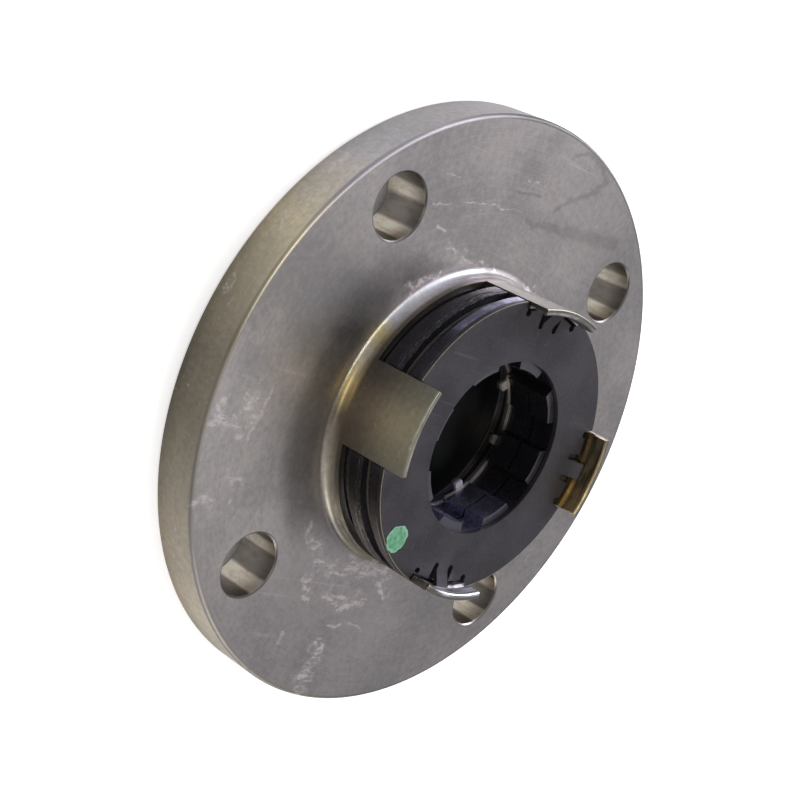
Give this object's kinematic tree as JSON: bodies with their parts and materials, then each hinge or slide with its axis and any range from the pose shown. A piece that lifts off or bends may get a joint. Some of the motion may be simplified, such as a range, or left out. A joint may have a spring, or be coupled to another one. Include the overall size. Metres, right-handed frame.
{
  "type": "torsional damper",
  "caption": "Bolt-on friction damper: round flange with a castellated collar that holds a pack of steel plates and splined friction discs for a shaft.",
  "frame": {"origin": "centre of the flange's back face", "axes": "+Z along the shaft axis, out of the open front; X and Y run through the middles of the four fingers, and the bolt holes lie between them"},
  "size_m": [0.125, 0.125, 0.0302],
  "materials": {
    "satin_steel": "satin turned steel, scuffed",
    "ground_steel": "ground and hardened",
    "spring_steel": "polished spring steel",
    "black_plate": "blackened, matt",
    "dark_steel": "blackened, oily",
    "friction_lining": "pressed friction material, matt"
  },
  "bodies": {
    "housing": {"hub": "satin_steel", "thrust_washer": "ground_steel", "rear_disc_spring": "spring_steel", "rear_plate": "black_plate", "thin_plate_1": "black_plate", "thin_plate_2": "black_plate", "thin_plate_3": "black_plate", "pressure_ring": "black_plate", "front_plate": "black_plate"},
    "front_disc": {"front_friction_disc": "dark_steel", "front_disc_rear_lining": "friction_lining", "front_disc_front_lining": "friction_lining"},
    "rear_disc": {"rear_friction_disc": "dark_steel", "rear_disc_lining": "friction_lining"},
    "tabbed_spring": {"front_disc_spring": "spring_steel"}
  },
  "joints": [
    {"name": "front_disc_turn", "type": "hinge", "parent": "housing", "child": "front_disc", "pos_m": [0, 0, 0.018], "axis": [0, 0, 1], "continuous": true},
    {"name": "rear_disc_turn", "type": "hinge", "parent": "housing", "child": "rear_disc", "pos_m": [0, 0, 0.018], "axis": [0, 0, 1], "continuous": true},
    {"name": "tabbed_spring_turn", "type": "hinge", "parent": "housing", "child": "tabbed_spring", "pos_m": [0, 0, 0.018], "axis": [0, 0, 1], "continuous": true}
  ],
  "couplings": [
    {"joint": "rear_disc_turn", "follows": "front_disc_turn", "ratio": 1},
    {"joint": "tabbed_spring_turn", "follows": "front_disc_turn", "ratio": 1}
  ]
}
